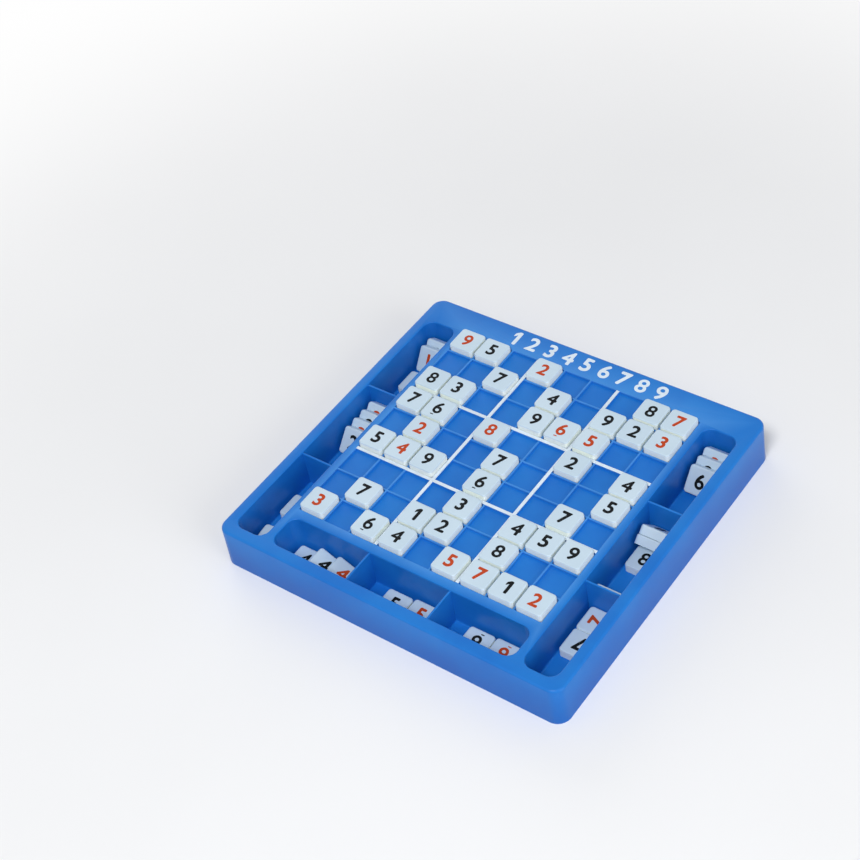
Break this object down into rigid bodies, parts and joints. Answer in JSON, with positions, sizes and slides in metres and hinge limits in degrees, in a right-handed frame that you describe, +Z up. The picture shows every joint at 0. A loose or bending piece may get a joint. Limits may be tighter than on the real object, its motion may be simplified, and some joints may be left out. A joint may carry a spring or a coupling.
{
  "type": "sudoku board",
  "caption": "Moulded blue puzzle board with a recessed square grid, three divided troughs round it and loose white number tiles.",
  "frame": {"origin": "on the resting plane, under the middle of the platform", "axes": "+X to the right along the rows, +Y from the front trough to the wide rear margin, +Z up"},
  "size_m": [0.256, 0.2424, 0.0341],
  "materials": {
    "platform": "satin moulded",
    "tile": "satin moulded"
  },
  "bodies": {
    "platform": {"platform": "platform"},
    "tile_r1c1": {"tile_r1c1": "tile"},
    "tile_r1c2": {"tile_r1c2": "tile"},
    "tile_r1c4": {"tile_r1c4": "tile"},
    "tile_r1c8": {"tile_r1c8": "tile"},
    "tile_r1c9": {"tile_r1c9": "tile"},
    "tile_r2c3": {"tile_r2c3": "tile"},
    "tile_r2c5": {"tile_r2c5": "tile"},
    "tile_r2c7": {"tile_r2c7": "tile"},
    "tile_r2c8": {"tile_r2c8": "tile"},
    "tile_r2c9": {"tile_r2c9": "tile"},
    "tile_r3c1": {"tile_r3c1": "tile"},
    "tile_r3c2": {"tile_r3c2": "tile"},
    "tile_r3c5": {"tile_r3c5": "tile"},
    "tile_r3c6": {"tile_r3c6": "tile"},
    "tile_r3c7": {"tile_r3c7": "tile"},
    "tile_r4c1": {"tile_r4c1": "tile"},
    "tile_r4c2": {"tile_r4c2": "tile"},
    "tile_r4c4": {"tile_r4c4": "tile"},
    "tile_r4c7": {"tile_r4c7": "tile"},
    "tile_r4c9": {"tile_r4c9": "tile"},
    "tile_r5c2": {"tile_r5c2": "tile"},
    "tile_r5c5": {"tile_r5c5": "tile"},
    "tile_r5c9": {"tile_r5c9": "tile"},
    "tile_r6c1": {"tile_r6c1": "tile"},
    "tile_r6c2": {"tile_r6c2": "tile"},
    "tile_r6c3": {"tile_r6c3": "tile"},
    "tile_r6c5": {"tile_r6c5": "tile"},
    "tile_r6c8": {"tile_r6c8": "tile"},
    "tile_r7c5": {"tile_r7c5": "tile"},
    "tile_r7c7": {"tile_r7c7": "tile"},
    "tile_r7c8": {"tile_r7c8": "tile"},
    "tile_r7c9": {"tile_r7c9": "tile"},
    "tile_r8c2": {"tile_r8c2": "tile"},
    "tile_r8c4": {"tile_r8c4": "tile"},
    "tile_r8c5": {"tile_r8c5": "tile"},
    "tile_r8c7": {"tile_r8c7": "tile"},
    "tile_r9c1": {"tile_r9c1": "tile"},
    "tile_r9c3": {"tile_r9c3": "tile"},
    "tile_r9c4": {"tile_r9c4": "tile"},
    "tile_r9c6": {"tile_r9c6": "tile"},
    "tile_r9c7": {"tile_r9c7": "tile"},
    "tile_r9c8": {"tile_r9c8": "tile"},
    "tile_r9c9": {"tile_r9c9": "tile"},
    "spare_ones": {"spare_ones": "tile"},
    "spare_twos": {"spare_twos": "tile"},
    "spare_threes": {"spare_threes": "tile"},
    "spare_fours": {"spare_fours": "tile"},
    "spare_fives": {"spare_fives": "tile"},
    "spare_sixes": {"spare_sixes": "tile"},
    "spare_sevens": {"spare_sevens": "tile"},
    "spare_eights": {"spare_eights": "tile"},
    "spare_nines": {"spare_nines": "tile"}
  },
  "joints": [
    {"name": "lift_r1c1", "type": "slide", "parent": "platform", "child": "tile_r1c1", "axis": [0, 0, 1], "range_m": [0, 0.02]},
    {"name": "lift_r1c2", "type": "slide", "parent": "platform", "child": "tile_r1c2", "axis": [0, 0, 1], "range_m": [0, 0.02]},
    {"name": "lift_r1c4", "type": "slide", "parent": "platform", "child": "tile_r1c4", "axis": [0, 0, 1], "range_m": [0, 0.02]},
    {"name": "lift_r1c8", "type": "slide", "parent": "platform", "child": "tile_r1c8", "axis": [0, 0, 1], "range_m": [0, 0.02]},
    {"name": "lift_r1c9", "type": "slide", "parent": "platform", "child": "tile_r1c9", "axis": [0, 0, 1], "range_m": [0, 0.02]},
    {"name": "lift_r2c3", "type": "slide", "parent": "platform", "child": "tile_r2c3", "axis": [0, 0, 1], "range_m": [0, 0.02]},
    {"name": "lift_r2c5", "type": "slide", "parent": "platform", "child": "tile_r2c5", "axis": [0, 0, 1], "range_m": [0, 0.02]},
    {"name": "lift_r2c7", "type": "slide", "parent": "platform", "child": "tile_r2c7", "axis": [0, 0, 1], "range_m": [0, 0.02]},
    {"name": "lift_r2c8", "type": "slide", "parent": "platform", "child": "tile_r2c8", "axis": [0, 0, 1], "range_m": [0, 0.02]},
    {"name": "lift_r2c9", "type": "slide", "parent": "platform", "child": "tile_r2c9", "axis": [0, 0, 1], "range_m": [0, 0.02]},
    {"name": "lift_r3c1", "type": "slide", "parent": "platform", "child": "tile_r3c1", "axis": [0, 0, 1], "range_m": [0, 0.02]},
    {"name": "lift_r3c2", "type": "slide", "parent": "platform", "child": "tile_r3c2", "axis": [0, 0, 1], "range_m": [0, 0.02]},
    {"name": "lift_r3c5", "type": "slide", "parent": "platform", "child": "tile_r3c5", "axis": [0, 0, 1], "range_m": [0, 0.02]},
    {"name": "lift_r3c6", "type": "slide", "parent": "platform", "child": "tile_r3c6", "axis": [0, 0, 1], "range_m": [0, 0.02]},
    {"name": "lift_r3c7", "type": "slide", "parent": "platform", "child": "tile_r3c7", "axis": [0, 0, 1], "range_m": [0, 0.02]},
    {"name": "lift_r4c1", "type": "slide", "parent": "platform", "child": "tile_r4c1", "axis": [0, 0, 1], "range_m": [0, 0.02]},
    {"name": "lift_r4c2", "type": "slide", "parent": "platform", "child": "tile_r4c2", "axis": [0, 0, 1], "range_m": [0, 0.02]},
    {"name": "lift_r4c4", "type": "slide", "parent": "platform", "child": "tile_r4c4", "axis": [0, 0, 1], "range_m": [0, 0.02]},
    {"name": "lift_r4c7", "type": "slide", "parent": "platform", "child": "tile_r4c7", "axis": [0, 0, 1], "range_m": [0, 0.02]},
    {"name": "lift_r4c9", "type": "slide", "parent": "platform", "child": "tile_r4c9", "axis": [0, 0, 1], "range_m": [0, 0.02]},
    {"name": "lift_r5c2", "type": "slide", "parent": "platform", "child": "tile_r5c2", "axis": [0, 0, 1], "range_m": [0, 0.02]},
    {"name": "lift_r5c5", "type": "slide", "parent": "platform", "child": "tile_r5c5", "axis": [0, 0, 1], "range_m": [0, 0.02]},
    {"name": "lift_r5c9", "type": "slide", "parent": "platform", "child": "tile_r5c9", "axis": [0, 0, 1], "range_m": [0, 0.02]},
    {"name": "lift_r6c1", "type": "slide", "parent": "platform", "child": "tile_r6c1", "axis": [0, 0, 1], "range_m": [0, 0.02]},
    {"name": "lift_r6c2", "type": "slide", "parent": "platform", "child": "tile_r6c2", "axis": [0, 0, 1], "range_m": [0, 0.02]},
    {"name": "lift_r6c3", "type": "slide", "parent": "platform", "child": "tile_r6c3", "axis": [0, 0, 1], "range_m": [0, 0.02]},
    {"name": "lift_r6c5", "type": "slide", "parent": "platform", "child": "tile_r6c5", "axis": [0, 0, 1], "range_m": [0, 0.02]},
    {"name": "lift_r6c8", "type": "slide", "parent": "platform", "child": "tile_r6c8", "axis": [0, 0, 1], "range_m": [0, 0.02]},
    {"name": "lift_r7c5", "type": "slide", "parent": "platform", "child": "tile_r7c5", "axis": [0, 0, 1], "range_m": [0, 0.02]},
    {"name": "lift_r7c7", "type": "slide", "parent": "platform", "child": "tile_r7c7", "axis": [0, 0, 1], "range_m": [0, 0.02]},
    {"name": "lift_r7c8", "type": "slide", "parent": "platform", "child": "tile_r7c8", "axis": [0, 0, 1], "range_m": [0, 0.02]},
    {"name": "lift_r7c9", "type": "slide", "parent": "platform", "child": "tile_r7c9", "axis": [0, 0, 1], "range_m": [0, 0.02]},
    {"name": "lift_r8c2", "type": "slide", "parent": "platform", "child": "tile_r8c2", "axis": [0, 0, 1], "range_m": [0, 0.02]},
    {"name": "lift_r8c4", "type": "slide", "parent": "platform", "child": "tile_r8c4", "axis": [0, 0, 1], "range_m": [0, 0.02]},
    {"name": "lift_r8c5", "type": "slide", "parent": "platform", "child": "tile_r8c5", "axis": [0, 0, 1], "range_m": [0, 0.02]},
    {"name": "lift_r8c7", "type": "slide", "parent": "platform", "child": "tile_r8c7", "axis": [0, 0, 1], "range_m": [0, 0.02]},
    {"name": "lift_r9c1", "type": "slide", "parent": "platform", "child": "tile_r9c1", "axis": [0, 0, 1], "range_m": [0, 0.02]},
    {"name": "lift_r9c3", "type": "slide", "parent": "platform", "child": "tile_r9c3", "axis": [0, 0, 1], "range_m": [0, 0.02]},
    {"name": "lift_r9c4", "type": "slide", "parent": "platform", "child": "tile_r9c4", "axis": [0, 0, 1], "range_m": [0, 0.02]},
    {"name": "lift_r9c6", "type": "slide", "parent": "platform", "child": "tile_r9c6", "axis": [0, 0, 1], "range_m": [0, 0.02]},
    {"name": "lift_r9c7", "type": "slide", "parent": "platform", "child": "tile_r9c7", "axis": [0, 0, 1], "range_m": [0, 0.02]},
    {"name": "lift_r9c8", "type": "slide", "parent": "platform", "child": "tile_r9c8", "axis": [0, 0, 1], "range_m": [0, 0.02]},
    {"name": "lift_r9c9", "type": "slide", "parent": "platform", "child": "tile_r9c9", "axis": [0, 0, 1], "range_m": [0, 0.02]},
    {"name": "lift_spare_ones", "type": "slide", "parent": "platform", "child": "spare_ones", "axis": [0, 0, 1], "range_m": [0, 0.04]},
    {"name": "lift_spare_twos", "type": "slide", "parent": "platform", "child": "spare_twos", "axis": [0, 0, 1], "range_m": [0, 0.04]},
    {"name": "lift_spare_threes", "type": "slide", "parent": "platform", "child": "spare_threes", "axis": [0, 0, 1], "range_m": [0, 0.04]},
    {"name": "lift_spare_fours", "type": "slide", "parent": "platform", "child": "spare_fours", "axis": [0, 0, 1], "range_m": [0, 0.04]},
    {"name": "lift_spare_fives", "type": "slide", "parent": "platform", "child": "spare_fives", "axis": [0, 0, 1], "range_m": [0, 0.04]},
    {"name": "lift_spare_sixes", "type": "slide", "parent": "platform", "child": "spare_sixes", "axis": [0, 0, 1], "range_m": [0, 0.04]},
    {"name": "lift_spare_sevens", "type": "slide", "parent": "platform", "child": "spare_sevens", "axis": [0, 0, 1], "range_m": [0, 0.04]},
    {"name": "lift_spare_eights", "type": "slide", "parent": "platform", "child": "spare_eights", "axis": [0, 0, 1], "range_m": [0, 0.04]},
    {"name": "lift_spare_nines", "type": "slide", "parent": "platform", "child": "spare_nines", "axis": [0, 0, 1], "range_m": [0, 0.04]}
  ]
}
